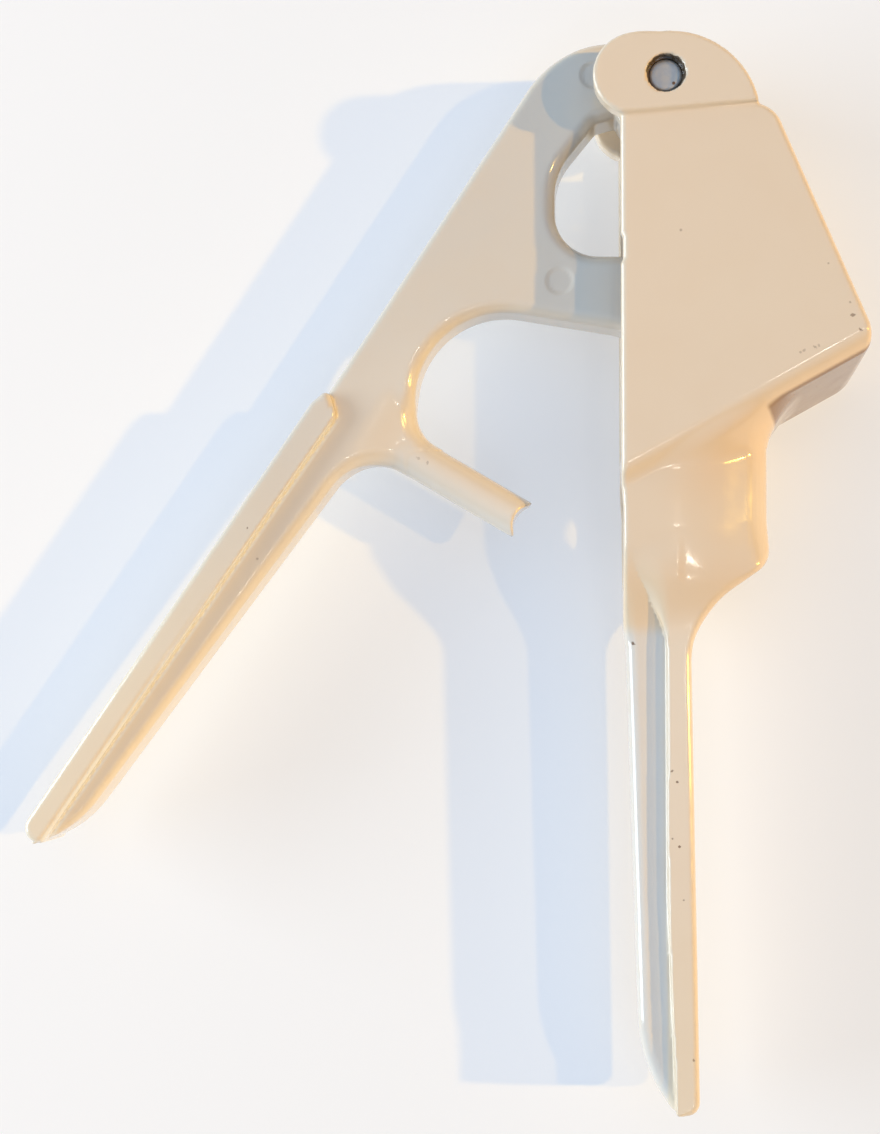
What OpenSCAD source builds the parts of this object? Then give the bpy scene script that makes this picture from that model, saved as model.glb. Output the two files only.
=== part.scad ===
// Garlic press with a built-in olive and cherry stoner, lying on its side, levers open.
// Millimetres. Z is along the hinge axis, with Z = 0 on the outer face of the lower ear.
// The hinge axis is X = Y = 0, the handles point towards -Y, and the part is the same above and below mid-height.

/* [Overall] */
// Height of the part along the hinge, over the two ears
press_t = 30; // [29:0.5:31]
// Height of the flat plate of both levers
plate_t = 10; // [9:0.5:11]
// Height of the thick back flange of both handles
flange_t = 14.4; // [13:0.2:16]

/* [Hinge] */
// Thickness of one ear
ear_t = 4; // [3.5:0.5:4]
// Diameter of the steel pin
pin_d = 5.5; // [5:0.1:6]
// Radial running clearance between the pin and the plunger lever
pin_clearance = 0.06; // [0.04:0.01:0.08]
// Depth of the wider mouth of each ear hole
recess_depth = 1.4; // [1:0.1:2]
// Diameter of the wider mouth of each ear hole
recess_d = 6.5; // [6.3:0.1:7]
// Radius of the round end of the plunger lever's plate
hub_r = 9; // [8.4:0.1:9.2]
// Radius of the bosses that fill the gap between the plate and the ears
boss_r = 6.5; // [5.5:0.5:7]
// How far the plunger lever turns from this open pose to the closed one
closing_angle = 32.5; // [32:0.1:32.6]

/* [Hopper] */
// Step from the ear's face down to the hopper's face
ear_step = 1; // [0.5:0.1:1.2]
// Distance from the hinge axis to the outer face of the sieve wall
sieve_out = 14.1; // [13.9:0.1:14.4]
// Angle between the sieve wall and the open mouth
sieve_tilt = 22.7; // [22.5:0.05:23]
// Thickness of the sieve wall
sieve_t = 2.6; // [2:0.1:2.8]
// Distance from the hinge axis to the outer face of the end wall near the cup, at its lower edge
floor_out = 57.9; // [57.5:0.1:58.1]
// How far that wall leans in between its lower and its upper edge
floor_lean = 2.6; // [1.5:0.1:2.6]
// Radius of the rounded edge between the hopper's sides and that wall
floor_edge_r = 3.2; // [2.5:0.1:4]

/* [Sieve holes] */
// Diameter of one hole
hole_d = 2; // [1.6:0.1:2.2]
// Distance between rows of holes
hole_pitch = 3.4; // [3.2:0.1:3.5]
// Number of rows along the sieve
hole_rows = 8; // [6:1:8]
// Number of holes in a long row, with one fewer in each short row
hole_columns = 6; // [4:1:6]

/* [Stoner] */
// Outer radius of the cup at its mouth
cup_r = 12.6; // [12.4:0.1:13]
// Radius of the cup's hollow at its mouth
bowl_r = 10.2; // [10:0.1:10.4]
// Diameter of the hole that the stone is pushed through
stone_hole_d = 9.6; // [9:0.1:10.4]
// Width of the stoning prong
prong_w = 6.7; // [6.2:0.1:7]
// Radius of the hollow in the prong's end
prong_notch_r = 3.6; // [3.5:0.1:5]

/* [Plunger] */
// Thickness of the pressing plate
foot_t = 4.2; // [3.5:0.1:4.5]
// Gap left between the pressing plate and the sieve when closed
foot_gap = 1; // [0.8:0.1:1.5]
// Gap between the pressing plate and each side wall
foot_side_gap = 0.6; // [0.4:0.1:1]

/* [Hidden] */

enamel = [0.87, 0.80, 0.69];
steel = [0.62, 0.62, 0.60];
mid_z = press_t / 2;
arc_step = 9;
far = 60;

// Outlines are lists of corners [x, y, corner radius], taken round the shape.
function xy(v) = [v.x, v.y];
function unit(v) = v / norm(v);

// The points of one rounded corner b between its neighbours a and c.
function corner(a, b, c, r) =
    let (u = unit(a - b), v = unit(c - b))
    let (half = acos(u * v) / 2)
    let (centre = b + unit(u + v) * r / sin(half))
    let (p = b + u * r / tan(half) - centre, q = b + v * r / tan(half) - centre)
    let (from = atan2(p.y, p.x))
    let (turn = (atan2(q.y, q.x) - from + 540) % 360 - 180)
    let (steps = max(2, ceil(abs(turn) / arc_step)))
    r == 0 ? [b] : [for (i = [0 : steps])
        centre + r * [cos(from + turn * i / steps), sin(from + turn * i / steps)]];

function rounded(v) =
    let (n = len(v))
    [for (i = [0 : n - 1])
        each corner(xy(v[(i + n - 1) % n]), xy(v[i]), xy(v[(i + 1) % n]), v[i].z)];

// A flat plate of the given height, centred on mid-height.
module plate(outline, height) {
    translate([0, 0, mid_z - height / 2])
        linear_extrude(height) polygon(rounded(outline));
}

// Along the sieve and out through it: s runs from the hinge towards the cup, n towards the outside.
along = [sin(sieve_tilt), -cos(sieve_tilt)];
outward = [cos(sieve_tilt), sin(sieve_tilt)];
function at(s, n) = s * along + n * outward;
function at_r(s, n, r) = concat(at(s, n), [r]);

chamber_t = press_t - 2 * ear_t;
sieve_in = sieve_out - sieve_t;

// ---- Hopper lever ----

mouth_x = -7.4;
mouth_low = [-7.1, -88];
floor_corner_r = 8;
ear_base_y = -5.9;
end_wall_out_y = -9.6;
end_wall_in_y = -12.6;
end_wall_rim_x = -3.4;
chamber_end_s = 52.6;
floor_tilt = 29;
sieve_middle_s = 33.4;
cup_y = -73.6;
cup_floor_x = 16.8;
stone_hole_y = -73.2;
hopper_top_y = -4.9;
cup_floor_t = 2.8;
neck_length = 20;

// Where the end wall by the cup, seen from above, crosses this x.
function floor_y(x) = (x * sin(floor_tilt) - floor_out) / cos(floor_tilt);

// How far along the sieve wall's outer face it meets that end wall.
floor_s = (floor_out - sieve_out * sin(floor_tilt - sieve_tilt)) / cos(floor_tilt - sieve_tilt);

// How far along the sieve a point lies, when its distance out and its height y are known.
function s_at_y(y, n) = (n * sin(sieve_tilt) - y) / cos(sieve_tilt);

hopper_outline = [
    [mouth_x, hopper_top_y + 0.3, 0],
    [mouth_x + 0.2, floor_y(mouth_x), 0],
    at_r(floor_s, sieve_out, floor_corner_r),
    at_r(s_at_y(hopper_top_y, sieve_out), sieve_out, 3)
];
// The end view of the hopper as distance from the hinge and height, with its edges by the cup rounded.
hopper_end_view = [
    [-floor_out - 0.05, ear_step, floor_edge_r],
    [far, ear_step, 0],
    [far, press_t - ear_step, 0],
    [-floor_out + floor_lean, press_t - ear_step, floor_edge_r]
];

// The ear: a small round nose on the mouth side and a broad round back.
module ear_shape() {
    intersection() {
        union() {
            translate([-5.1, 0.1]) circle(r = 6.8, $fn = 96);
            intersection() {
                translate([0.3, -8]) circle(r = 15.05, $fn = 160);
                translate([-5.2, -12]) square([25, 24]);
            }
        }
        rotate(3.8) translate([-20, ear_base_y]) square([45, 20]);
    }
}

module ears() {
    for (z = [0, press_t - ear_t])
        translate([0, 0, z]) linear_extrude(ear_t) ear_shape();
}

// The hopper's solid block: its outline from above, cut to its end view.
module hopper_block() {
    intersection() {
        plate(hopper_outline, press_t + 2);
        rotate(floor_tilt) translate([-far, 0, 0]) rotate([90, 0, 90])
            linear_extrude(2 * far) polygon(rounded(hopper_end_view));
    }
}

// Everything between the side walls: the chamber, its open mouth, and the gap between the ears, with the
// end wall left standing between the chamber and the gap.
hollow_outline = [
    at_r(chamber_end_s, sieve_in, 2),
    at_r(s_at_y(end_wall_in_y, sieve_in), sieve_in, 2),
    [end_wall_rim_x, end_wall_in_y, 0.8],
    [end_wall_rim_x, end_wall_out_y, 0.8],
    [40, end_wall_out_y, 0],
    [40, 20, 0],
    [-30, 20, 0],
    [-30, -71.4, 0]
];

// The half section of the cup as radius and distance in from the mouth.
cup_depth = cup_floor_x - mouth_low.x;
cup_section = [
    [0, 0, 0],
    [cup_r, 0, 0],
    [cup_r - 0.5, 12, 6],
    [8.4, cup_depth, 5.5],
    [0, cup_depth, 0]
];
bowl_section = [
    [0, -1, 0],
    [bowl_r, -1, 0],
    [bowl_r - 0.5, 11, 5],
    [6.6, cup_depth - cup_floor_t, 2.5],
    [0, cup_depth - cup_floor_t, 0]
];

// Turns a half section about a line along +X, at the height y in plan.
module along_x(section, y) {
    translate([mouth_low.x, y, mid_z]) rotate([0, 90, 0])
        rotate_extrude($fn = 72) polygon(rounded(section));
}

// The cup, and the neck of the same section that joins it to the hopper.
module cup_outside() {
    near_side = [for (v = cup_section) if (v.x > 0) v];
    far_side = [for (i = [1 : len(near_side)]) let (v = near_side[len(near_side) - i]) [-v.x, v.y, v.z]];
    along_x(cup_section, cup_y);
    translate([mouth_low.x, cup_y, mid_z]) rotate([0, -90, -90])
        linear_extrude(neck_length) polygon(rounded(concat(near_side, far_side)));
}

// Handle: a plate with a thicker flange along the outer edge, which fits the palm.
handle_back = [
    [5.2, -169.8, 2.4],
    [4.1, -88.4, 15],
    [14.4, -81.2, 0]
];
web_outline = concat(
    [
        [8, -72, 0],
        [mouth_low.x + 0.1, -78, 0],
        [mouth_low.x + 0.1, mouth_low.y, 0],
        [-6.8, -91.2, 1],
        [-4.75, -161.5, 26],
        [1.1, -170, 3]
    ],
    handle_back
);
flange_outline = concat([[0, -76, 0], [0, -134.5, 0], [1.2, -169.7, 0]], handle_back);

module sieve_holes() {
    for (row = [0 : hole_rows - 1]) {
        count = hole_columns - row % 2;
        for (i = [0 : count - 1]) {
            s = sieve_middle_s + (row - (hole_rows - 1) / 2) * hole_pitch;
            place = at(s, sieve_in - 3);
            translate([place.x, place.y, mid_z + (i - (count - 1) / 2) * hole_pitch])
                rotate([0, 90, sieve_tilt]) cylinder(d = hole_d, h = sieve_t + 6, $fn = 24);
        }
    }
}

module hopper_lever() {
    color(enamel) difference() {
        union() {
            ears();
            hopper_block();
            cup_outside();
            plate(web_outline, plate_t);
            plate(flange_outline, flange_t);
        }
        plate(hollow_outline, chamber_t);
        along_x(bowl_section, cup_y);
        stone_hole();
        sieve_holes();
        translate([0, 0, -1]) cylinder(d = pin_d, h = press_t + 2, $fn = 64);
        for (z = [recess_depth - far, press_t - recess_depth])
            translate([0, 0, z]) cylinder(d = recess_d, h = far, $fn = 64);
    }
}

module stone_hole() {
    translate([cup_floor_x - 6, stone_hole_y, mid_z]) rotate([0, 90, 0])
        cylinder(d = stone_hole_d, h = 12, $fn = 64);
}

// ---- Plunger lever ----

prong_angle = -30.6;
prong_root = [-47.9, -57.9];
prong_end = [-24, -72.05];
lever_tip = [-111.6, -129.1];
lever_heel = [-99.8, -124.7];
foot_low_s = 51.2;
foot_high_s = 20.6;
foot_face_n = sieve_in - foot_gap;
foot_back_n = foot_face_n - foot_t;

// A point given as it lies beside the sieve when closed, turned back to the open pose.
function opened(p) = [
    p.x * cos(closing_angle) + p.y * sin(closing_angle),
    p.y * cos(closing_angle) - p.x * sin(closing_angle)
];
function opened_r(s, n, r) = concat(opened(at(s, n)), [r]);

// The whole side view of the lever, without the prong: round the outer edge first, then back along
// the inner edge, round the large opening, along the stem to the pressing plate, and round the small opening.
lever_outline = [
    [0, hub_r, 0],
    [-17.7, hub_r + 0.1, 18],
    [-107.4, -127.3, 0],
    concat(lever_heel, [20]),
    [-51.2, -59.6, 9],
    [-43.8, -64.2, 0],
    [-37.6, -60, 0],
    [-42.1, -57.4, 7],
    [-42.1, -34, 15],
    [-5.6, -40.5, 8],
    opened_r(46.5, foot_back_n + 0.5, 0),
    opened_r(24.5, foot_back_n + 0.5, 0),
    [-4.6, -27.7, 6],
    [-18.4, -27.3, 7.4],
    [-18.4, -13.2, 11],
    [-11.6, -4.8, 1.5],
    [-3, -2.6, 0]
];
lever_flange_outline = [
    [-56.6, -50, 1],
    [-59.6, -52.6, 3],
    concat(lever_tip, [2.6]),
    [-104.7, -126.75, 0],
    [-55.1, -54.6, 2.5]
];
foot_outline = [
    opened_r(foot_high_s, foot_face_n, 1.2),
    opened_r(foot_high_s, foot_back_n, 1.8),
    opened_r(foot_low_s, foot_back_n, 1.8),
    opened_r(foot_low_s, foot_face_n, 1.2)
];
ejector_mark = [-17.4, -31.7];
ejector_mark_r = 2.2;
ejector_mark_depth = 0.3;

// A round bar with a hollow end that grips the fruit.
module prong() {
    difference() {
        translate([prong_root.x, prong_root.y, mid_z]) rotate([0, 90, prong_angle])
            cylinder(d = prong_w, h = norm(prong_end - prong_root), $fn = 48);
        translate([prong_end.x, prong_end.y, 0]) rotate(prong_angle)
            translate([prong_notch_r - 1.3, 0, 0]) cylinder(r = prong_notch_r, h = press_t, $fn = 48);
    }
}

module plunger_lever() {
    boss_h = chamber_t - 0.6;
    color(enamel) difference() {
        union() {
            plate(lever_outline, plate_t);
            plate(lever_flange_outline, flange_t);
            plate(foot_outline, chamber_t - 2 * foot_side_gap);
            prong();
            translate([0, 0, mid_z - plate_t / 2]) cylinder(r = hub_r, h = plate_t, $fn = 96);
            translate([0, 0, mid_z - boss_h / 2]) cylinder(r = boss_r, h = boss_h, $fn = 96);
        }
        translate([0, 0, -1]) cylinder(d = pin_d + 2 * pin_clearance, h = press_t + 2, $fn = 64);
        translate([ejector_mark.x, ejector_mark.y, mid_z + plate_t / 2 - ejector_mark_depth])
            cylinder(r = ejector_mark_r, h = 2, $fn = 32);
    }
}

// ---- Hinge pin ----

module hinge_pin() {
    color(steel) translate([0, 0, recess_depth])
        cylinder(d = pin_d, h = press_t - 2 * recess_depth, $fn = 64);
}

hopper_lever();
plunger_lever();
hinge_pin();
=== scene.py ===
"""Looks of a cast, enamelled garlic press lying on its side with its levers open.

Each lever is modelled as one smooth solid: a signed distance in millimetres, negative inside, is
meshed on a fine grid, then every vertex is moved onto the exact surface and takes its true normal.
"""

import math

import bpy
import numpy as np
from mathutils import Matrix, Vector


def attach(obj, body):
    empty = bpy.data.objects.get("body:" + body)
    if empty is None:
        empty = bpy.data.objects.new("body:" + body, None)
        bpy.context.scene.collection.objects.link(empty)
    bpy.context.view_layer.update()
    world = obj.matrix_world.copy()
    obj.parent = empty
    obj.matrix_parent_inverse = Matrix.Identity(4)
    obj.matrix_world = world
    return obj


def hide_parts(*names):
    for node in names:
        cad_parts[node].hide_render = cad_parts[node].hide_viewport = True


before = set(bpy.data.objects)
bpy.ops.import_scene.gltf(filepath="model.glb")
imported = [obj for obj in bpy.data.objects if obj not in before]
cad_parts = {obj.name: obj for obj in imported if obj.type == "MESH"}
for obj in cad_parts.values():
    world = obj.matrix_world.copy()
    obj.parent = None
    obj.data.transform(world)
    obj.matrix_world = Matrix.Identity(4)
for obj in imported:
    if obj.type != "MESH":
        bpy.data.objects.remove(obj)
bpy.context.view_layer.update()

MM = 0.001
MID_Z = 15.0
CELL = 0.46
SNAP_ROUNDS = 3
SNAP_STEP = 0.04
NORMAL_STEP = 0.09
BEND_STEP = 0.45
ARC_STEP = 5.0
ARC_CHORD = 0.9
WAVE_HEIGHT = 0.005

# ---- Distances ----


def unit(v):
    return v / np.hypot(*v)


def rounded(corners):
    """The points of an outline given as corners (x, y, corner radius)."""
    points = []
    for i, (x, y, radius) in enumerate(corners):
        here = np.array((x, y), float)
        if radius == 0:
            points.append(here)
            continue
        u = unit(np.array(corners[i - 1][:2], float) - here)
        v = unit(np.array(corners[(i + 1) % len(corners)][:2], float) - here)
        half = math.acos(np.clip(u @ v, -1, 1)) / 2
        centre = here + unit(u + v) * radius / math.sin(half)
        first = here + u * radius / math.tan(half) - centre
        last = here + v * radius / math.tan(half) - centre
        start = math.atan2(first[1], first[0])
        turn = (math.atan2(last[1], last[0]) - start + 3 * math.pi) % (2 * math.pi) - math.pi
        by_angle = math.ceil(abs(math.degrees(turn)) / ARC_STEP)
        by_length = math.ceil(abs(turn) * radius / ARC_CHORD)
        steps = max(2, by_angle, by_length)
        for k in range(steps + 1):
            angle = start + turn * k / steps
            points.append(centre + radius * np.array((math.cos(angle), math.sin(angle))))
    return np.array(points)


def outline(points, x, y):
    """Distance to a closed flat outline."""
    shape = np.broadcast(x, y).shape
    best = np.full(shape, np.inf)
    inside = np.zeros(shape, bool)
    for (ax, ay), (bx, by) in zip(points, np.roll(points, -1, axis=0)):
        ex, ey = bx - ax, by - ay
        t = np.clip(((x - ax) * ex + (y - ay) * ey) / (ex * ex + ey * ey), 0, 1)
        best = np.minimum(best, (x - ax - t * ex) ** 2 + (y - ay - t * ey) ** 2)
        if ey != 0:
            inside ^= ((y >= ay) != (y >= by)) & (x < ax + (y - ay) * ex / ey)
    return np.where(inside, -1, 1) * np.sqrt(best)


def both(a, b, r):
    """Where two solids overlap, with the edge between their faces rounded to r."""
    return np.minimum(-r, np.maximum(a, b)) + np.hypot(np.maximum(r + a, 0), np.maximum(r + b, 0))


def joined(a, b, r):
    """Two solids made one, with a fillet of radius r between them."""
    return np.maximum(r, np.minimum(a, b)) - np.hypot(np.maximum(r - a, 0), np.maximum(r - b, 0))


def slab(flat, rise, half, r):
    """A plate of the given half thickness from its flat distance, with rounded edges."""
    return both(flat, rise - half, r)


def smooth_step(low, high, t):
    t = np.clip((t - low) / (high - low), 0, 1)
    return t * t * (3 - 2 * t)


def waves(x, y, z):
    """The slow unevenness of a cast and enamelled surface."""
    return WAVE_HEIGHT * (
        np.sin(0.23 * x + 0.11 * y + 1.3) * np.cos(0.27 * z + 0.17 * y)
        + np.sin(0.19 * y - 0.31 * x + 0.4 * z)
        + np.sin(0.43 * x + 0.14 * z) * np.sin(0.37 * y + 2.0)
    )


# ---- Hopper lever ----

SIEVE_TILT = math.radians(22.7)
FLOOR_TILT = math.radians(29.0)
SIEVE_OUT = 14.1
SIEVE_IN = 11.5
SIEVE_MIDDLE = 33.4
FLOOR_OUT = 57.9
FLOOR_LEAN = 2.6
FLOOR_EDGE_R = 3.2
SIDE_HALF = 14
EAR_HALF = 15
FLANGE_HALF = 7.2
WEB_HALF = 5
HOLLOW_HALF = 11
STONE_R = 4.8
STONE_Y = -73.2
MOUTH_X = -7.4
CUP_X = -7.1
CUP_Y = -73.6
NECK = 20.0
CUP_DEPTH = 23.9
PIN_R = 2.75
RECESS_R = 3.1
RECESS_DEPTH = 1.4
HOLE_PITCH = 3.4
HOLE_ROWS = 8
HOLE_COLUMNS = 6


def at(s, n, r=0.0):
    """A corner given along the sieve and out from the hinge axis."""
    x = s * math.sin(SIEVE_TILT) + n * math.cos(SIEVE_TILT)
    y = -s * math.cos(SIEVE_TILT) + n * math.sin(SIEVE_TILT)
    return (x, y, r)


def s_at_y(y, n):
    return (n * math.sin(SIEVE_TILT) - y) / math.cos(SIEVE_TILT)


HANDLE_BACK = [(5.2, -169.8, 2.4), (4.1, -88.4, 15), (14.4, -81.2, 0)]
WEB = rounded([
    (12, -83, 0), (-7.0, -83, 0), (-7.0, -88, 0), (-6.8, -91.2, 1),
    (-4.75, -161.5, 26), (1.1, -170, 3)] + HANDLE_BACK)
FLANGE = rounded([(0, -83, 0), (0, -134.5, 0), (1.2, -169.7, 0)] + HANDLE_BACK)
HOLLOW = rounded([
    at(52.6, SIEVE_IN, 2), at(s_at_y(-12.6, SIEVE_IN), SIEVE_IN, 2),
    (-3.4, -12.6, 0.8), (-3.4, -9.6, 0.8), (40, -9.6, 0), (40, 20, 0), (-30, 20, 0), (-30, -71.4, 0)])


def mirrored(section):
    """A half section of (radius, depth, corner radius), with its other half."""
    return rounded(section + [(-r, d, c) for r, d, c in reversed(section)])


CUP = mirrored([(12.6, -6, 0), (12.1, 12, 38), (8.4, CUP_DEPTH, 6)])
BOWL = mirrored([(10.2, -6, 0), (9.7, 11, 5), (6.6, 21.1, 2.5)])


# Everything that lies inside the lever's right-hand side, from the neck down to the handle's end.
SIDE = rounded([
    (-30, 40, 0), (60, 40, 0), (60, -61, 0), (16.9, -61, 0), (16.8, -79.5, 5), (4.1, -88.4, 15),
    (5.2, -169.9, 2.4), (-30, -169.9, 0)])


def ear_outline(x, y):
    nose = np.hypot(x + 5.1, y - 0.1) - 6.8
    back = np.maximum(np.hypot(x - 0.3, y + 8) - 15.05, -5.2 - x)
    tilt = math.radians(3.8)
    base = -5.9 - (y * math.cos(tilt) - x * math.sin(tilt))
    return both(joined(nose, back, 1.5), base, 0.3)


def sieve_holes(s, n, z):
    row = np.clip(np.round((s - SIEVE_MIDDLE) / HOLE_PITCH + (HOLE_ROWS - 1) / 2), 0, HOLE_ROWS - 1)
    last = HOLE_COLUMNS - 1 - row % 2
    place = np.clip(np.round((z - MID_Z) / HOLE_PITCH + last / 2), 0, last)
    ds = s - SIEVE_MIDDLE - (row - (HOLE_ROWS - 1) / 2) * HOLE_PITCH
    dz = z - MID_Z - (place - last / 2) * HOLE_PITCH
    return np.maximum(np.hypot(ds, dz) - 1.0, np.abs(n - (SIEVE_IN + SIEVE_OUT) / 2) - 4.5)


def hopper_distance(x, y, z):
    rise = np.abs(z - MID_Z)
    s = x * math.sin(SIEVE_TILT) - y * math.cos(SIEVE_TILT)
    n = x * math.cos(SIEVE_TILT) + y * math.sin(SIEVE_TILT)
    down = x * math.sin(FLOOR_TILT) - y * math.cos(FLOOR_TILT)

    plan = both(both(n - SIEVE_OUT, down - FLOOR_OUT - 1.2, 8), y + 4.9, 3)
    wall = FLOOR_OUT - FLOOR_LEAN * (z - MID_Z + SIDE_HALF) / (2 * SIDE_HALF)
    ends = both(down - wall, rise - SIDE_HALF, FLOOR_EDGE_R)
    block = both(plan, ends, 1.0)

    away = np.hypot(y - np.clip(y, CUP_Y, CUP_Y + NECK), rise)
    cup = outline(CUP, away, x - CUP_X)
    valley = 0.8 + 5.2 * smooth_step(-3, 14, x)
    body = joined(block, cup, 0.3 + valley * smooth_step(50.5, 56.5, down))

    flange_edge = 0.25 + 1.05 * smooth_step(1.5, 3.0, x)
    flange = slab(outline(FLANGE, x, y), rise, FLANGE_HALF, flange_edge)
    handle = joined(slab(outline(WEB, x, y), rise, WEB_HALF, 2.0), flange, 0.3)
    body = joined(body, handle, 9.0)
    body = both(body, outline(SIDE, x, y) - 0.3, 1.0)

    dent = 0.35 * smooth_step(2.6, 1.8, np.abs(y + 28.5)) * smooth_step(24, 27, z)
    mouth = MOUTH_X + dent + 0.3 * smooth_step(-66, -72, y) + 0.0305 * np.maximum(-93 - y, 0)
    body = both(body, mouth - x, 0.8)

    ears = slab(ear_outline(x, y), rise, EAR_HALF, 0.55)
    body = joined(body, ears, 0.7)

    hollow = slab(outline(HOLLOW, x, y), rise, HOLLOW_HALF, 1.0)
    body = both(body, -hollow, 0.7)
    bowl = outline(BOWL, np.hypot(y - CUP_Y, rise), x - CUP_X)
    body = both(body, -bowl, 0.9)
    stone_hole = np.maximum(np.hypot(y - STONE_Y, rise) - STONE_R, 10 - x)
    body = both(body, -stone_hole, 0.8)
    body = both(body, -sieve_holes(s, n, z), 0.35)
    axis = np.hypot(x, y)
    recess = np.maximum(axis - RECESS_R, EAR_HALF - RECESS_DEPTH - rise)
    body = both(body, -np.minimum(axis - PIN_R, recess), 0.25)
    return body + waves(x, y, z)


# ---- Plunger lever ----

CLOSING = math.radians(32.5)
HUB_R = 9.0
BOSS_R = 6.5
BOSS_HALF = 10.7
FOOT_HALF = 10.4
PIN_GAP = 0.06
MARKS = ((-17.55, -31.95), (-11.7, 3.2))
MARK_DEPTH = 0.24
PRONG_ROOT = np.array((-47.9, -57.9))
PRONG_END = np.array((-24.0, -72.05))
PRONG_R = 3.35
FOOT_FACE = SIEVE_IN - 1.0
FOOT_BACK = FOOT_FACE - 4.2


def opened(s, n, r):
    """A corner beside the sieve when closed, turned back to the open pose."""
    x, y, _ = at(s, n)
    return (x * math.cos(CLOSING) + y * math.sin(CLOSING), y * math.cos(CLOSING) - x * math.sin(CLOSING), r)


ARM = rounded([
    (0, HUB_R, 0), (-17.7, HUB_R + 0.1, 18), (-107.4, -127.3, 0), (-99.8, -124.7, 20),
    (-51.2, -59.6, 9), (-43.8, -64.2, 0), (-37.6, -60, 0), (-42.1, -57.4, 7), (-42.1, -34, 15),
    (-5.6, -40.5, 8), opened(46.5, FOOT_BACK + 0.5, 0), opened(24.5, FOOT_BACK + 0.5, 0),
    (-4.6, -27.7, 6), (-18.4, -27.3, 7.4), (-18.4, -13.2, 11), (-11.6, -4.8, 1.5), (-3, -2.6, 0)])
ARM_FLANGE = rounded([
    (-56.6, -50, 1), (-59.6, -52.6, 3), (-111.6, -129.1, 2.6), (-104.7, -126.75, 0), (-55.1, -54.6, 2.5)])
FOOT = rounded([
    opened(20.6, FOOT_FACE, 1.2), opened(20.6, FOOT_BACK, 1.8),
    opened(51.2, FOOT_BACK, 1.8), opened(51.2, FOOT_FACE, 1.2)])


def plunger_distance(x, y, z):
    rise = np.abs(z - MID_Z)
    from_back = (x + 17.7) * 0.835 - (y - 9.1) * 0.549
    edge = 1.3 + 0.9 * smooth_step(3, 9, from_back)
    along = unit(PRONG_END - PRONG_ROOT)
    u = (x - PRONG_ROOT[0]) * along[0] + (y - PRONG_ROOT[1]) * along[1]
    v = (y - PRONG_ROOT[1]) * along[0] - (x - PRONG_ROOT[0]) * along[1]
    taper = smooth_step(-4, 5, u) * smooth_step(10, 5.5, np.abs(v))
    edge = edge + (PRONG_R - 0.1 - edge) * taper
    arm = slab(outline(ARM, x, y), rise, WEB_HALF - (WEB_HALF - PRONG_R) * taper, edge)
    flange_edge = 1.1 - 0.8 * smooth_step(2.0, 3.0, from_back)
    flange = slab(outline(ARM_FLANGE, x, y), rise, FLANGE_HALF, flange_edge)
    body = joined(arm, flange, 0.2)
    axis = np.hypot(x, y)
    body = joined(body, slab(axis - HUB_R, rise, WEB_HALF, 1.3), 0.3)
    body = joined(body, slab(axis - BOSS_R, rise, BOSS_HALF, 0.8), 1.0)
    foot = slab(outline(FOOT, x, y), rise, FOOT_HALF, 1.0)
    body = joined(body, foot, 2.2)

    length = np.hypot(*(PRONG_END - PRONG_ROOT))
    prong = both(np.sqrt(v * v + rise * rise + np.minimum(u, 0) ** 2) - PRONG_R, u - length, 0.4)
    prong = both(prong, 3.6 - np.hypot(u - length - 2.3, v), 0.45)
    body = joined(body, prong, 0.3)

    for mx, my in MARKS:
        body = body + MARK_DEPTH * smooth_step(2.7, 1.7, np.hypot(x - mx, y - my)) * (z > MID_Z)
    body = both(body, PIN_R + PIN_GAP - axis, 0.35)
    return body + waves(x + 40, y, z)


# ---- Meshing ----


def shifted(a, offset, size):
    return a[tuple(slice(o, o + n) for o, n in zip(offset, size))]


def surface(distance, low, high):
    """Vertices and quads of the surface where the distance is zero."""
    low = np.array(low, float)
    axes = [np.arange(low[i], high[i] + CELL, CELL) for i in range(3)]
    field = distance(axes[0][:, None, None], axes[1][None, :, None], axes[2][None, None, :])
    inside = field < 0
    size = tuple(n - 1 for n in field.shape)
    corners = [np.array((i, j, k)) for i in (0, 1) for j in (0, 1) for k in (0, 1)]
    filled = sum(shifted(inside, c, size).astype(np.int8) for c in corners)
    active = (filled > 0) & (filled < 8)
    cells = np.argwhere(active)
    total = np.zeros((len(cells), 3))
    hits = np.zeros(len(cells))
    for i, a in enumerate(corners):
        for b in corners[i + 1:]:
            if np.abs(a - b).sum() != 1:
                continue
            fa = field[tuple((cells + a).T)]
            fb = field[tuple((cells + b).T)]
            cut = (fa < 0) != (fb < 0)
            t = fa[cut] / (fa[cut] - fb[cut])
            total[cut] += a + t[:, None] * (b - a)
            hits[cut] += 1
    points = low + CELL * (cells + total / hits[:, None])
    index = np.full(active.shape, -1)
    index[active] = np.arange(len(cells))
    quads = []
    for axis in range(3):
        ahead = np.roll(inside, -1, axis) != inside
        ahead[tuple(slice(-1, None) if k == axis else slice(None) for k in range(3))] = False
        spots = np.argwhere(ahead)
        u, v = (np.eye(3, dtype=int)[(axis + k) % 3] for k in (1, 2))
        ring = np.stack([index[tuple((spots - o).T)] for o in (0 * u, u, u + v, v)], axis=1)
        flip = ~inside[tuple(spots.T)]
        ring[flip] = ring[flip][:, ::-1]
        quads.append(ring)
    return points, np.concatenate(quads)


def slope(distance, points, step):
    """The distance's slope and its bend at each point."""
    p = points.T
    centre = distance(*p)
    gradient = np.zeros_like(points)
    bend = -6 * centre
    for axis in range(3):
        offset = np.zeros((3, 1))
        offset[axis] = step
        ahead = distance(*(p + offset))
        behind = distance(*(p - offset))
        gradient[:, axis] = (ahead - behind) / (2 * step)
        bend += ahead + behind
    return centre, gradient, bend / step ** 2


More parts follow.
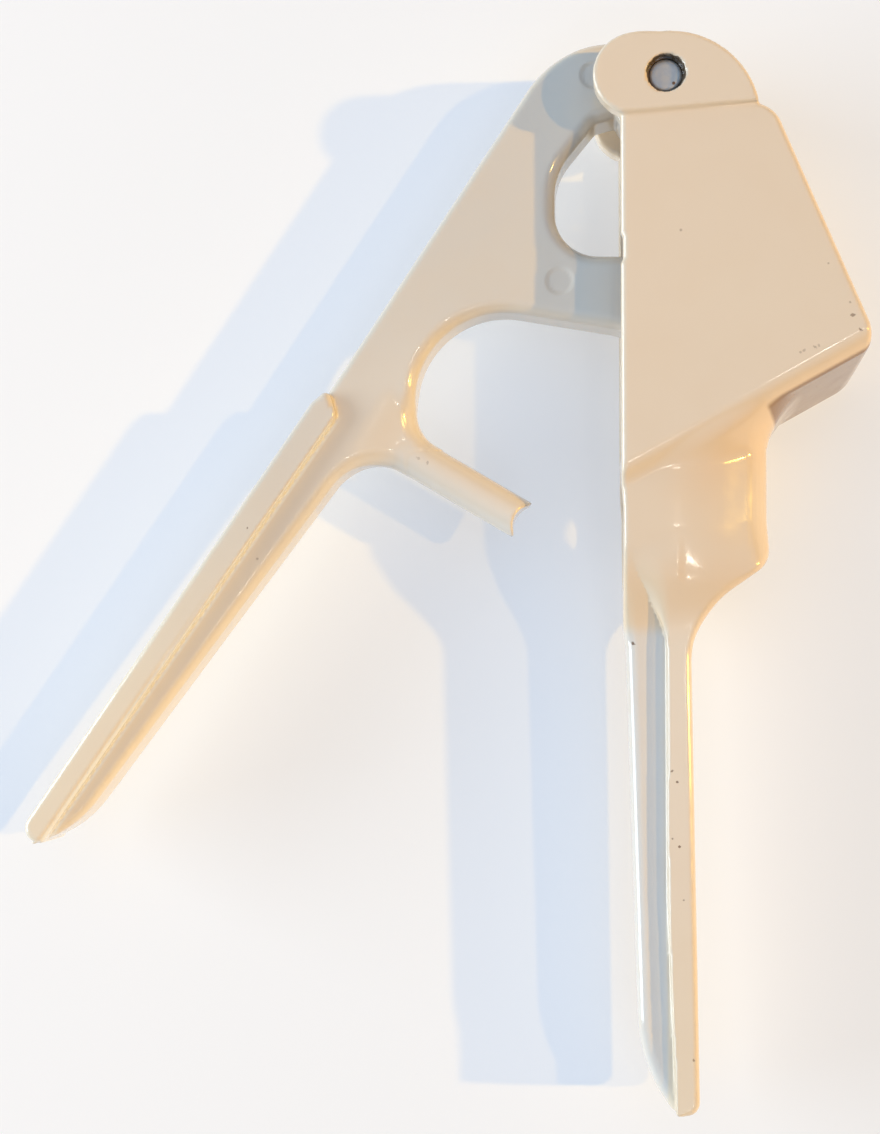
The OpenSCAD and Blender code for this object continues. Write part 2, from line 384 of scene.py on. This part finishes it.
def casting(name, node, body, distance, low, high):
    """A lever as a mesh on its exact surface, standing for its CAD node."""
    points, quads = surface(distance, low, high)
    for _ in range(SNAP_ROUNDS):
        value, gradient, _ = slope(distance, points, SNAP_STEP)
        squared = np.maximum((gradient ** 2).sum(axis=1), 0.25)
        move = -(value / squared)[:, None] * gradient
        points += np.clip(move, -0.5 * CELL, 0.5 * CELL)
    _, normals, _ = slope(distance, points, NORMAL_STEP)
    normals /= np.linalg.norm(normals, axis=1)[:, None]
    _, _, bend = slope(distance, points, BEND_STEP)

    mesh = bpy.data.meshes.new(name)
    mesh.from_pydata((points * MM).tolist(), [], quads.tolist())
    mesh.polygons.foreach_set("use_smooth", np.ones(len(quads), bool))
    mesh.normals_split_custom_set_from_vertices(normals.tolist())
    edge = mesh.attributes.new("edge", "FLOAT", "POINT")
    edge.data.foreach_set("value", np.clip(bend, -1.5, 1.5).astype(np.float32))
    obj = bpy.data.objects.new(name, mesh)
    bpy.context.scene.collection.objects.link(obj)
    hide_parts(node)
    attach(obj, body)
    return obj


def turned(name, profile, sides):
    """A closed solid turned about the hinge axis, from (radius, height) points."""
    verts = [(0, 0, profile[0][1]), (0, 0, profile[-1][1])]
    rings = []
    for radius, height in profile:
        first = len(verts)
        for k in range(sides):
            angle = 2 * math.pi * k / sides
            verts.append((radius * math.cos(angle), radius * math.sin(angle), height))
        rings.append(first)
    faces = [(0, rings[0] + (k + 1) % sides, rings[0] + k) for k in range(sides)]
    faces += [(1, rings[-1] + k, rings[-1] + (k + 1) % sides) for k in range(sides)]
    for a, b in zip(rings, rings[1:]):
        faces += [(a + k, a + (k + 1) % sides, b + (k + 1) % sides, b + k) for k in range(sides)]
    mesh = bpy.data.meshes.new(name)
    mesh.from_pydata([tuple(c * MM for c in v) for v in verts], [], faces)
    mesh.polygons.foreach_set("use_smooth", np.ones(len(faces), bool))
    obj = bpy.data.objects.new(name, mesh)
    bpy.context.scene.collection.objects.link(obj)
    return obj


hopper = casting("hopper_casting", "hopper_lever", "hopper_body", hopper_distance,
                 (-13.5, -171, -0.8), (36.5, 8.5, 30.8))
plunger = casting("plunger_casting", "plunger_lever", "plunger_body", plunger_distance,
                  (-114, -132, 3.4), (10.5, 11, 26.6))

PIN_PROFILE = [
    (0.6, 1.46), (1.6, 1.44), (2.2, 1.47), (2.5, 1.58), (2.66, 1.75), (2.72, 2.0), (2.72, 10),
    (2.72, 20), (2.72, 28.0), (2.66, 28.25), (2.5, 28.42), (2.2, 28.53), (1.6, 28.56), (0.6, 28.54)]
pin = turned("rivet_pin", PIN_PROFILE, 72)
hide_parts("hinge_pin")
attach(pin, "hopper_body")

# ---- Materials ----


class Nodes:
    """Short ways to add shader nodes to one material."""

    def __init__(self, name):
        self.material = bpy.data.materials.new(name)
        self.material.use_nodes = True
        self.tree = self.material.node_tree
        self.shader = self.tree.nodes["Principled BSDF"]
        place = self.tree.nodes.new("ShaderNodeTexCoord")
        self.place = self.vector("MULTIPLY", place.outputs["Object"], (1 / MM, 1 / MM, 1 / MM))

    def put(self, socket, value):
        if isinstance(value, bpy.types.NodeSocket):
            self.tree.links.new(value, socket)
        elif value is not None:
            socket.default_value = value

    def math(self, operation, a, b=None, c=None, clamp=False):
        node = self.tree.nodes.new("ShaderNodeMath")
        node.operation = operation
        node.use_clamp = clamp
        for socket, value in zip(node.inputs, (a, b, c)):
            self.put(socket, value)
        return node.outputs[0]

    def vector(self, operation, a, b=None):
        node = self.tree.nodes.new("ShaderNodeVectorMath")
        node.operation = operation
        self.put(node.inputs[0], a)
        self.put(node.inputs[1], b)
        return node.outputs["Value" if operation in ("DISTANCE", "DOT_PRODUCT", "LENGTH") else "Vector"]

    def ramp(self, value, low, high, to_low=0.0, to_high=1.0):
        node = self.tree.nodes.new("ShaderNodeMapRange")
        node.interpolation_type = "SMOOTHSTEP"
        for socket, number in zip(node.inputs, (value, low, high, to_low, to_high)):
            self.put(socket, number)
        return node.outputs[0]

    def noise(self, size, detail=2.0, vector=None):
        """Noise from 0 to 1 whose features are about size millimetres across."""
        node = self.tree.nodes.new("ShaderNodeTexNoise")
        self.put(node.inputs["Vector"], vector or self.place)
        node.inputs["Scale"].default_value = 1 / size
        node.inputs["Detail"].default_value = detail
        return node.outputs["Fac"]

    def mix(self, factor, a, b):
        node = self.tree.nodes.new("ShaderNodeMix")
        node.data_type = "RGBA"
        self.put(node.inputs["Factor"], factor)
        self.put(node.inputs["A"], a)
        self.put(node.inputs["B"], b)
        return node.outputs["Result"]

    def bump(self, height, distance, strength):
        node = self.tree.nodes.new("ShaderNodeBump")
        node.inputs["Strength"].default_value = strength
        node.inputs["Distance"].default_value = distance * MM
        self.put(node.inputs["Height"], height)
        self.put(self.shader.inputs["Normal"], node.outputs["Normal"])

    def attribute(self, name):
        node = self.tree.nodes.new("ShaderNodeAttribute")
        node.attribute_name = name
        return node.outputs["Fac"]


def rgb(r, g, b):
    return (r, g, b, 1.0)


CREAM = rgb(0.785, 0.645, 0.475)
GREY_CREAM = rgb(0.685, 0.61, 0.505)
WEB_SHADE_CREAM = rgb(0.73, 0.675, 0.60)
LIGHT_CREAM = rgb(0.86, 0.76, 0.62)
TAN = rgb(0.81, 0.69, 0.51)
STEP_HIGHLIGHT = rgb(0.80, 0.82, 0.80)
SHADE_TAN = rgb(0.80, 0.60, 0.385)
SHADE_BROWN = rgb(0.27, 0.15, 0.06)
WEAR_AND_SHADE_TAN = rgb(0.74, 0.57, 0.38)
DARK = rgb(0.20, 0.12, 0.065)
GRIME_AND_RECESS_SHADE = rgb(0.07, 0.045, 0.025)


def enamel(name, main, far, direction, near_at, far_at, specks, zones):
    """Glossy vitreous enamel. It yellows along direction from near_at to far_at."""
    n = Nodes(name)
    along = n.vector("DOT_PRODUCT", n.place, direction)
    cloud = n.noise(30.0, 3.0)
    aged = n.math("ADD", n.ramp(along, near_at, far_at), n.ramp(cloud, 0.3, 0.7, -0.12, 0.12), clamp=True)
    colour = n.mix(aged, main, far)
    for zone, strength, tint in zones(n):
        colour = n.mix(n.math("MULTIPLY", zone, strength), colour, tint)
    mottle = n.ramp(n.noise(7.0, 3.0), 0.35, 0.75, 0.0, 0.10)
    colour = n.mix(mottle, colour, WEAR_AND_SHADE_TAN)
    bend = n.attribute("edge")
    thin = n.math("MULTIPLY", n.ramp(bend, 0.25, 1.2), n.ramp(n.noise(2.2, 3.0), 0.42, 0.7, 0.0, 0.3))
    colour = n.mix(thin, colour, WEAR_AND_SHADE_TAN)
    # Painted shade: concave creases are darkened towards the worn tan.
    crease_shade = n.ramp(bend, -0.25, -1.2, 0.0, 0.2)
    colour = n.mix(crease_shade, colour, WEAR_AND_SHADE_TAN)
    ragged = n.ramp(n.noise(0.5, 2.0), 0.3, 0.7, 0.55, 1.45)
    marks = None
    for x, y, z, radius, strength in specks:
        gap = n.vector("DISTANCE", n.place, (x, y, z))
        spot = n.ramp(n.math("MULTIPLY", gap, ragged), radius, 0.5 * radius, 0.0, strength)
        marks = spot if marks is None else n.math("MAXIMUM", marks, spot)
    fine = n.tree.nodes.new("ShaderNodeTexVoronoi")
    fine.inputs["Scale"].default_value = 1 / 6.5
    n.put(fine.inputs["Vector"], n.place)
    tiny = n.ramp(fine.outputs["Distance"], 0.05, 0.02, 0.0, 0.5)
    rare = n.math("GREATER_THAN", n.noise(9.0, 1.0), 0.56)
    marks = n.math("MAXIMUM", marks, n.math("MULTIPLY", tiny, rare))
    colour = n.mix(marks, colour, DARK)
    if name == "hopper_enamel":
        # Near-black ring in the pin recess: partly painted shade of the gap round the pin, partly grime.
        flat = n.vector("LENGTH", n.vector("MULTIPLY", n.place, (1, 1, 0)))
        ring = n.ramp(n.math("ADD", flat, n.ramp(n.noise(0.9, 3.0), 0.3, 0.7, -0.1, 0.1)), 3.3, 3.12)
        colour = n.mix(n.math("MULTIPLY", ring, 0.95), colour, GRIME_AND_RECESS_SHADE)
    n.put(n.shader.inputs["Base Color"], colour)
    gloss = n.ramp(n.noise(3.0, 3.0), 0.3, 0.8, 0.10, 0.2)
    n.put(n.shader.inputs["Roughness"], n.math("ADD", gloss, n.math("MULTIPLY", marks, 0.4)))
    height = n.math("MULTIPLY_ADD", n.noise(1.6, 2.0), 1.0, n.math("MULTIPLY", marks, -2.5))
    n.bump(height, 0.02, 0.5)
    n.shader.inputs["Coat Weight"].default_value = 0.3
    n.shader.inputs["Coat Roughness"].default_value = 0.06
    return n.material


HOPPER_SPECKS = [
    (29.3, -38.2, 29, 0.22, 0.5), (29.7, -40.3, 29, 0.36, 0.7), (31.0, -42.6, 28.6, 0.45, 0.9),
    (30.6, -42.9, 28.6, 0.3, 0.8), (21.3, -46.2, 29, 0.3, 0.45), (21.9, -46.0, 29, 0.28, 0.4),
    (23.7, -45.4, 29, 0.3, 0.5), (24.3, -45.2, 29, 0.26, 0.4), (25.9, -31.8, 29, 0.2, 0.4),
    (-4.6, -73.1, 26.6, 0.3, 0.9), (-6.6, -75.9, 26, 0.28, 0.8), (-5.5, -93.1, 20, 0.33, 1.0),
    (0.9, -169.0, 21.0, 0.85, 1.0), (0.7, -113.9, 22.2, 0.26, 0.8), (1.5, -115.7, 22.2, 0.28, 0.9),
    (0.7, -124.9, 22.2, 0.22, 0.7), (1.8, -126.2, 22.2, 0.27, 0.9), (2.5, -134.8, 22.2, 0.2, 0.6),
    (4.0, -160.5, 22.2, 0.25, 0.7)]
PLUNGER_SPECKS = [
    (-70.0, -73.7, 22.2, 0.27, 0.8), (-68.7, -74.9, 22.2, 0.24, 0.7), (-66.5, -82.4, 20, 0.25, 0.6),
    (-74.6, -93.2, 19.2, 0.45, 1.0), (-58.8, -59.8, 20, 0.2, 0.5), (-87.1, -107.5, 22.2, 0.5, 0.4),
    (-35.3, -62.3, 18.2, 0.5, 1.0), (-36.1, -62.0, 18.0, 0.3, 0.9), (-40.0, -62.4, 18.4, 0.3, 0.35),
    (-41.5, -61.6, 18.4, 0.3, 0.3)]


def hopper_zones(n):
    """Painted shade and light on the hopper lever, as (mask, strength, colour): deeper tan, dark brown and
    greyer where shade falls, paler on the raised flange.
    """
    parts = n.tree.nodes.new("ShaderNodeSeparateXYZ")
    n.put(parts.inputs[0], n.place)
    x, y, z = parts.outputs
    down = n.vector("DOT_PRODUCT", n.place, (math.sin(FLOOR_TILT), -math.cos(FLOOR_TILT), 0))
    # Painted shading: the rounded floor edge below the crease is painted a deeper tan where it turns away
    # from the face.
    slope_shade = n.math("MULTIPLY", n.ramp(down, 52.5, 56.0), n.ramp(down, 68.0, 58.0))
    right = n.ramp(x, -6.0, 10.0)
    # Painted shade: the end wall under the floor's rounded edge is painted dark brown.
    past_cup = n.vector("DOT_PRODUCT", n.place, (0.788, 0.616, 0))
    end_wall_shade = n.math("MULTIPLY", n.ramp(past_cup, -21.4, -20.4), n.ramp(z, 27.6, 26.6))
    lean = n.math("MULTIPLY", n.math("SUBTRACT", z, MID_Z - SIDE_HALF), FLOOR_LEAN / (2 * SIDE_HALF))
    end_wall_shade = n.math("MULTIPLY", end_wall_shade, n.ramp(n.math("ADD", down, lean), 56.4, 57.0))
    # Painted shade: the valley where the cup runs into the handle is painted a deeper tan.
    root_shade = n.math("MULTIPLY", n.ramp(y, -77.0, -83.0), n.ramp(y, -94.0, -89.0))
    handle = n.ramp(y, -89.5, -92.5)
    # Painted shade: the handle's web, beside the raised flange, is painted a greyer cream.
    web_shade = n.math("MULTIPLY", handle, n.ramp(x, 0.2, -0.4))
    # Painted light: the raised flange face of the handle is painted a paler cream.
    flange = n.math("MULTIPLY", n.ramp(y, -86.0, -92.0), n.ramp(x, -0.4, 0.2))
    flange = n.math("MULTIPLY", flange, n.ramp(y, -160.0, -110.0))
    return ((n.math("MULTIPLY", slope_shade, right), 0.75, SHADE_TAN), (end_wall_shade, 0.95, SHADE_BROWN),
            (root_shade, 0.6, SHADE_TAN), (web_shade, 0.85, WEB_SHADE_CREAM), (flange, 0.45, LIGHT_CREAM))


def plunger_zones(n):
    """Paler where the prong leaves the arm, with a painted highlight along the flange's step wall."""
    gap = n.vector("DISTANCE", n.place, (-33.0, -66.5, 15.0))
    parts = n.tree.nodes.new("ShaderNodeSeparateXYZ")
    n.put(parts.inputs[0], n.place)
    # Painted highlight: the flange's step wall on the plunger is painted as a pale grey-white line.
    across = n.vector("DOT_PRODUCT", n.place, (0.8238, -0.5669, 0))
    gap_to_step = n.math("ABSOLUTE", n.math("ADD", across, 14.35))
    step = n.math("MULTIPLY", n.ramp(gap_to_step, 0.9, 0.3), n.ramp(parts.outputs["Z"], 22.15, 21.9))
    step = n.math("MULTIPLY", step, n.ramp(parts.outputs["Y"], -54.0, -57.0))
    return ((n.ramp(gap, 34.0, 8.0), 0.6, LIGHT_CREAM), (step, 0.85, STEP_HIGHLIGHT))


hopper.data.materials.append(
    enamel("hopper_enamel", CREAM, TAN, (0, -1, 0), 120, 185, HOPPER_SPECKS, hopper_zones))
plunger.data.materials.append(
    enamel("plunger_enamel", GREY_CREAM, TAN, (-0.55, -0.835, 0), 66, 150, PLUNGER_SPECKS, plunger_zones))


def pin_steel():
    n = Nodes("dull_steel")
    streak = n.noise(0.8, 4.0)
    colour = n.mix(n.ramp(streak, 0.3, 0.7), rgb(0.56, 0.51, 0.45), rgb(0.62, 0.57, 0.50))
    rust_and_rim_shade = n.ramp(n.vector("DISTANCE", n.place, (1.3, -1.4, 28.6)), 0.35, 0.2)
    flat = n.vector("LENGTH", n.vector("MULTIPLY", n.place, (1, 1, 0)))
    # Dark brown ring on the pin's rim: partly painted shade of the gap, partly rust.
    rust_and_rim_shade = n.math("MAXIMUM", rust_and_rim_shade, n.ramp(flat, 2.62, 2.72, 0.0, 0.9))
    rust_and_rim_shade = n.math("MAXIMUM", rust_and_rim_shade, n.ramp(n.noise(1.2, 4.0), 0.66, 0.8, 0.0, 0.3))
    colour = n.mix(rust_and_rim_shade, colour, rgb(0.24, 0.12, 0.06))
    n.put(n.shader.inputs["Base Color"], colour)
    n.shader.inputs["Metallic"].default_value = 0.65
    n.put(n.shader.inputs["Roughness"], n.ramp(streak, 0.3, 0.8, 0.4, 0.6))
    n.bump(streak, 0.03, 0.5)
    return n.material


pin.data.materials.append(pin_steel())

# ---- Floor, lights and camera ----


def floor_plane(size):
    mesh = bpy.data.meshes.new("floor")
    corners = [(-size, -size, 0), (size, -size, 0), (size, size, 0), (-size, size, 0)]
    mesh.from_pydata(corners, [], [(0, 1, 2, 3)])
    obj = bpy.data.objects.new("floor", mesh)
    bpy.context.scene.collection.objects.link(obj)
    n = Nodes("pale_floor")
    n.put(n.shader.inputs["Base Color"], n.mix(n.noise(400.0), rgb(0.50, 0.52, 0.55), rgb(0.52, 0.54, 0.57)))
    n.shader.inputs["Roughness"].default_value = 0.9
    n.shader.inputs["Specular IOR Level"].default_value = 0.1
    n.shader.inputs["Emission Color"].default_value = rgb(1.0, 0.98, 0.95)
    n.shader.inputs["Emission Strength"].default_value = 0.39
    mesh.materials.append(n.material)
    return obj


floor = floor_plane(12.0)
floor.location.z = -0.0001


def aim(obj, azimuth, elevation, distance, target=(-0.035, -0.06, 0.015)):
    """Puts a light at that bearing from +X and height, pointing at the target."""
    a, e = math.radians(azimuth), math.radians(elevation)
    back = np.array((math.cos(a) * math.cos(e), math.sin(a) * math.cos(e), math.sin(e)))
    obj.location = np.array(target) + back * distance
    obj.rotation_euler = Vector(-back).to_track_quat("-Z", "Y").to_euler()


def lamp(name, kind, colour, power, azimuth, elevation, size, distance=1.2):
    data = bpy.data.lights.new(name, kind)
    data.color = colour
    data.energy = power
    if kind == "SUN":
        data.angle = math.radians(size)
    else:
        data.shape = "SQUARE"
        data.size = size
    obj = bpy.data.objects.new(name, data)
    bpy.context.scene.collection.objects.link(obj)
    aim(obj, azimuth, elevation, distance)


for number, (tilt_x, tilt_y) in enumerate(((10.0, -27.0), (13.0, -15.0), (12.0, 1.0))):
    toward = (math.tan(math.radians(tilt_x)), math.tan(math.radians(tilt_y)))
    bearing = math.degrees(math.atan2(toward[1], toward[0]))
    height = math.degrees(math.atan2(1, math.hypot(*toward)))
    lamp("ceiling_spot_%d" % (number + 1), "SUN", (1.0, 0.93, 0.82), 0.05, bearing, height, 2.0)
lamp("high_lamp", "SUN", (1.0, 0.58, 0.07), 0.76, 0, 48, 1.5)
lamp("low_lamp", "SUN", (1.0, 0.58, 0.06), 1.82, 0, 31, 1.5)
lamp("window", "AREA", (0.80, 0.91, 1.0), 20.0, 178, 12, 0.9)

HORIZON = rgb(0.80, 0.775, 0.74)
SKY_LOW = rgb(0.055, 0.076, 0.108)
SKY_TOP = rgb(0.341, 0.576, 0.941)

world = bpy.data.worlds.new("soft_room")
bpy.context.scene.world = world
world.use_nodes = True
sky = world.node_tree.nodes
place = sky.new("ShaderNodeTexCoord")
parts = sky.new("ShaderNodeSeparateXYZ")
tones = sky.new("ShaderNodeValToRGB").color_ramp
tones.interpolation = "EASE"
tones.elements[0].color = HORIZON
tones.elements[-1].color = SKY_TOP
tones.elements.new(0.26).color = HORIZON
tones.elements.new(0.42).color = SKY_LOW
ramp = sky["Color Ramp"]
world.node_tree.links.new(place.outputs["Generated"], parts.inputs[0])
world.node_tree.links.new(parts.outputs["Z"], ramp.inputs["Fac"])
world.node_tree.links.new(ramp.outputs["Color"], sky["Background"].inputs["Color"])
sky["Background"].inputs["Strength"].default_value = 1.0

bpy.context.scene.view_settings.view_transform = "Standard"

camera = bpy.data.objects.new("camera", bpy.data.cameras.new("camera"))
bpy.context.scene.collection.objects.link(camera)
camera.location = (-0.011965, -0.099067, 0.325)
camera.rotation_euler = [math.radians(a) for a in (3.5354, 4.8038, 0.1483)]
camera.data.sensor_fit = "AUTO"
camera.data.sensor_width = 24.0
camera.data.lens = 38.71
camera.data.clip_start = 0.01
bpy.context.scene.camera = camera
